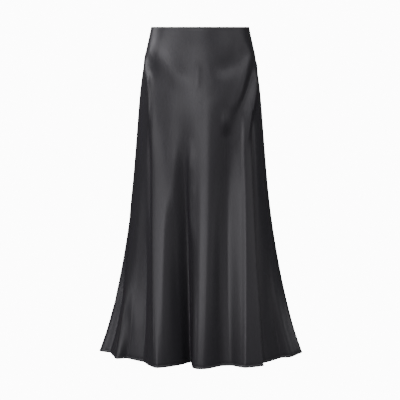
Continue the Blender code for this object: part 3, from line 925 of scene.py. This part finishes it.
def small_finish(name, deep, pale, patch_mm, gloss, dull, relief, rib_mm=None, **uniform):
    """A finish that varies between two shades over patches, with ribs or a ripple as its relief.

    Any other socket of the surface, such as IOR, can be given by its name.
    """
    finish, tree = new_finish(name)
    place = add(tree, "ShaderNodeTexCoord").outputs["Object"]
    cloud = {"Scale": 1000.0 / patch_mm, "Detail": 3.0}
    patches = add(tree, "ShaderNodeTexNoise", Vector=place, **cloud).outputs["Fac"]
    dyes = {"_6": colour(deep), "_7": colour(pale)}
    shade = add(tree, "ShaderNodeMix", {"data_type": "RGBA"}, _0=patches, **dyes).outputs[2]
    polish = add(tree, "ShaderNodeMapRange", Value=patches, To_Min=gloss, To_Max=dull).outputs[0]
    height = patches
    if rib_mm:
        ribs = {"Scale": bands(rib_mm), "Distortion": 1.2}
        wave = add(tree, "ShaderNodeTexWave", {"bands_direction": "Z"}, Vector=place, **ribs)
        height = wave.outputs["Fac"]
    dents = {"Strength": relief, "Distance": SMALL_RELIEF * MM}
    bump = add(tree, "ShaderNodeBump", Height=height, **dents).outputs[0]
    look = {"Base_Color": shade, "Roughness": polish, "Normal": bump, **uniform}
    surface = add(tree, "ShaderNodeBsdfPrincipled", **look)
    add(tree, "ShaderNodeOutputMaterial", Surface=surface.outputs["BSDF"])
    print(name, deep, "to", pale)
    return finish


# %% Tape, nylon, enamel and thread
RIBS = {"rib_mm": 0.7, "IOR": 1.5}
ENAMEL = {"IOR": 1.5, "Coat_Weight": 0.4, "Coat_Roughness": 0.12}
tape_weave = small_finish("woven_polyester_tape", "#2b2b2f", "#343439", 1.6, 0.70, 0.82, 0.8, **RIBS)
coil_nylon = small_finish("nylon_coil", "#2a2a2e", "#323237", 2.5, 0.38, 0.46, 0.1, IOR=1.53)
baked_enamel = small_finish("baked_enamel", "#34343a", "#3a3a40", 1.2, 0.26, 0.36, 0.15, **ENAMEL)
spun_thread = small_finish("spun_polyester_thread", "#3a393f", "#46454b", 0.6, 0.55, 0.68, 0.5, IOR=1.5)

for node, finish in (("zip_tape", tape_weave), ("zip_slider", baked_enamel), ("zip_pull", baked_enamel)):
    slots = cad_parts[node].material_slots
    for holder in slots:
        holder.material = finish
    print(node, "has", finish.name, "in", len(slots), "slot")

# %% Small pieces get their finish and body
DRESSED = (
    (zip_coil, coil_nylon, "zip_tape"),
    (zip_runner, baked_enamel, "zip_enamel"),
    (zip_top_stops, baked_enamel, "zip_enamel"),
    (zip_foot_stop, baked_enamel, "zip_enamel"),
    (hem_thread, spun_thread, "satin"),
    (waist_thread, spun_thread, "satin"),
    (overlock_thread, spun_thread, "satin"),
    (tape_thread, spun_thread, "zip_tape"),
)
for piece, finish, slot in DRESSED:
    piece.data.materials.append(finish)
    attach(piece, "skirt")
print(len(DRESSED), "small pieces dressed")

# %% [markdown]
# ## Floor and air of the studio
# The skirt is shown against white. A white room could be lit until it glows, but its light would come
# back from every side and wash out the dark satin. So the floor and the air are bright only where the
# camera looks at them, and dim where the cloth mirrors them. From below the floor is clear, so that it
# doesn't hide the skirt from a low camera.

# %% Floor and air
FLOOR_DROP, FLOOR_RADIUS = 1.03, 14.0
BACKGROUND_GLOW, AIR_GLOW = 12.0, 0.06


def seen_bright(tree, dim, bright):
    """A mix that shows a bright shader to the camera and a dim one to every other ray."""
    rays = add(tree, "ShaderNodeLightPath").outputs["Is Camera Ray"]
    return add(tree, "ShaderNodeMixShader", Fac=rays, _1=dim.outputs[0], _2=bright.outputs[0])


def studio_floor():
    """A wide round floor below the hem. It is part of the stage, not of the skirt."""
    shape = bmesh.new()
    bmesh.ops.create_circle(shape, cap_ends=True, segments=96, radius=FLOOR_RADIUS)
    bmesh.ops.translate(shape, verts=shape.verts, vec=(0.0, 0.0, -FLOOR_DROP))
    floor = mesh_piece("floor", shape)
    finish, tree = new_finish("pale_floor")
    matt = add(tree, "ShaderNodeBsdfDiffuse", Color=colour("#4c4c4c"))
    bright = add(tree, "ShaderNodeEmission", Color=colour("#ffffff"), Strength=BACKGROUND_GLOW)
    seen = seen_bright(tree, matt, bright)
    clear = add(tree, "ShaderNodeBsdfTransparent")
    below = add(tree, "ShaderNodeNewGeometry").outputs["Backfacing"]
    open_below = add(tree, "ShaderNodeMixShader", Fac=below, _1=seen.outputs[0], _2=clear.outputs[0])
    add(tree, "ShaderNodeOutputMaterial", Surface=open_below.outputs[0])
    floor.data.materials.append(finish)


def studio_air():
    """The white that the camera sees behind the skirt, and the little light that the air gives."""
    world = bpy.data.worlds.new("studio_air")
    bpy.context.scene.world = world
    world.use_nodes = True
    tree = world.node_tree
    tree.nodes.clear()
    soft = add(tree, "ShaderNodeBackground", Color=colour("#ffffff"), Strength=AIR_GLOW)
    bright = add(tree, "ShaderNodeBackground", Color=colour("#ffffff"), Strength=BACKGROUND_GLOW)
    seen = seen_bright(tree, soft, bright)
    add(tree, "ShaderNodeOutputWorld", Surface=seen.outputs[0])


studio_floor()
studio_air()
print("floor", round(FLOOR_DROP - LENGTH, 2), "m below the hem")

# %% [markdown]
# ## Light
# Satin is a soft mirror, so it shows the lamps rather than its own colour. One big lamp would give it one
# broad sheen. A ring of soft boxes at two heights gives each flute a bright side and a dark side, and the
# gaps between them make the dark bands. Small cards close to the cloth lift the waist and the two lower
# corners only. A weak lamp inside keeps the back of the cloth out of black.

# %% The table of lights
# name, azimuth and elevation in degrees, distance, width, height, glow
# Azimuth 0 is in front of the skirt and 90 at the wearer's left.
SOFTBOX_WHITE = "#fcfaff"
STUDIO_LIGHTS = (
    ("key_softbox", -20, 11, 3.2, 2.6, 1.4, 2.0),
    ("front_strip", 0, 13, 3.2, 1.4, 1.4, 1.4),
    ("front_right_strip", 40, 10, 3.2, 3.4, 1.4, 0.5),
    ("right_strip", 80, 10, 3.2, 1.4, 1.4, 0.85),
    ("left_strip", -60, 10, 3.2, 1.4, 1.4, 0.8),
    ("high_side_softbox", -98, 38, 3.2, 1.6, 1.4, 3.0),
    ("high_left_softbox", -60, 38, 3.2, 1.4, 1.4, 4.5),
    ("high_front_softbox", -40, 38, 3.2, 1.0, 1.4, 1.6),
    ("high_right_softbox", 44, 38, 3.2, 1.6, 1.4, 1.9),
    ("high_right_side_softbox", 80, 38, 3.2, 1.4, 1.4, 1.6),
    ("waist_left_card", -105, 38, 0.87, 0.35, 0.25, 2.2),
    ("hem_left_card", -75, -20, 0.935, 0.16, 0.12, 4.0),
    ("hem_right_card", 108, -21, 0.93, 0.13, 0.07, 2.2),
    ("back_softbox", 180, 32, 3.2, 2.4, 1.2, 1.6),
    ("back_strip", 180, 5, 3.2, 1.6, 1.4, 0.5),
)
print(len(STUDIO_LIGHTS), "soft lights")

# %% Setting up the lights
MIDDLE = Vector((0.0, 0.0, -LENGTH / 2))


def set_lamp(lamp, spot):
    """Put a lamp into the studio."""
    place = bpy.data.objects.new(lamp.name, lamp)
    place.location = spot
    bpy.context.scene.collection.objects.link(place)
    return place


def softbox(name, azimuth, elevation, distance, width, height, glow):
    """A soft rectangle of light that faces the middle of the skirt. Its glow is its brightness."""
    lamp = bpy.data.lights.new(name, "AREA")
    lamp.shape = "RECTANGLE"
    lamp.size, lamp.size_y = width, height
    lamp.energy = glow * math.pi * width * height
    lamp.color = colour(SOFTBOX_WHITE)[:3]
    turn, rise = math.radians(azimuth), math.radians(elevation)
    away = Vector((math.sin(turn) * math.cos(rise), -math.cos(turn) * math.cos(rise), math.sin(rise)))
    place = set_lamp(lamp, MIDDLE + away * distance)
    place.rotation_mode = "QUATERNION"
    place.rotation_quaternion = (-away).to_track_quat("-Z", "Y")


def inner_lamp(watts, radius):
    """A weak round lamp in the middle of the skirt."""
    lamp = bpy.data.lights.new("inner_lamp", "POINT")
    lamp.energy = watts
    lamp.shadow_soft_size = radius
    set_lamp(lamp, MIDDLE)


for row in STUDIO_LIGHTS:
    softbox(*row)
inner_lamp(watts=0.5, radius=0.05)
print("brightest light", max(STUDIO_LIGHTS, key=lambda row: row[-1])[0])

# %% [markdown]
# ## Camera
# The camera stands level with the waist and looks down a little, as at a skirt on a stand. Its lens is
# long, which keeps the waist and the hem in proportion. A shift could frame the skirt too, but a tilt
# keeps the camera plain for other views.

# %% Camera
FRAME_PIXELS, FOCAL_PIXELS = 400, 1394.0
CAMERA_ASIDE, CAMERA_BACK, CAMERA_TILT = -0.0005, 3.6, 7.087

lens = bpy.data.cameras.new("camera")
lens.sensor_width = 36.0
lens.lens = FOCAL_PIXELS * lens.sensor_width / FRAME_PIXELS
camera = bpy.data.objects.new("camera", lens)
camera.location = (CAMERA_ASIDE, -CAMERA_BACK, 0.0)
camera.rotation_euler = (math.radians(90.0 - CAMERA_TILT), 0.0, 0.0)
bpy.context.scene.collection.objects.link(camera)
bpy.context.scene.camera = camera
print("lens", round(lens.lens, 1), "mm,", CAMERA_BACK, "m from the skirt")
